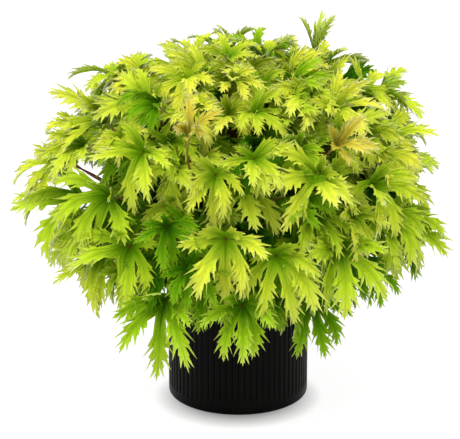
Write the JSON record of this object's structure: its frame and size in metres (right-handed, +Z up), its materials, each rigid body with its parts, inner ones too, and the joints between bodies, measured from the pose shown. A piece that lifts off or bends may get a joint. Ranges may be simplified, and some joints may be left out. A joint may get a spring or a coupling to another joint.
{
  "type": "potted coral bells",
  "caption": "Full mound of deeply cut lime-green leaves on long stalks, growing from a short woody crown in a round black fluted pot.",
  "frame": {"origin": "centre of the pot's flat underside, which stands on the ground", "axes": "+Z up out of the pot, -Y towards the viewer of the picture, +X to that viewer's right"},
  "size_m": [0.518, 0.4973, 0.4395],
  "materials": {
    "pot_plastic": "satin black moulded plastic",
    "potting_soil": "moist dark potting mix",
    "crown_bark": "rough brown bark",
    "branch_bark": "reddish brown bark",
    "leaf_lime": "soft matt leaf"
  },
  "bodies": {
    "root": {"pot": "pot_plastic", "soil": "potting_soil", "crown": "crown_bark", "branch_side_1": "branch_bark", "branch_side_2": "branch_bark", "branch_side_3": "branch_bark", "branch_side_4": "branch_bark", "branch_side_5": "branch_bark", "foliage_top": "leaf_lime", "foliage_side_1": "leaf_lime", "foliage_side_2": "leaf_lime", "foliage_side_3": "leaf_lime", "foliage_side_4": "leaf_lime", "foliage_side_5": "leaf_lime"}
  },
  "joints": []
}
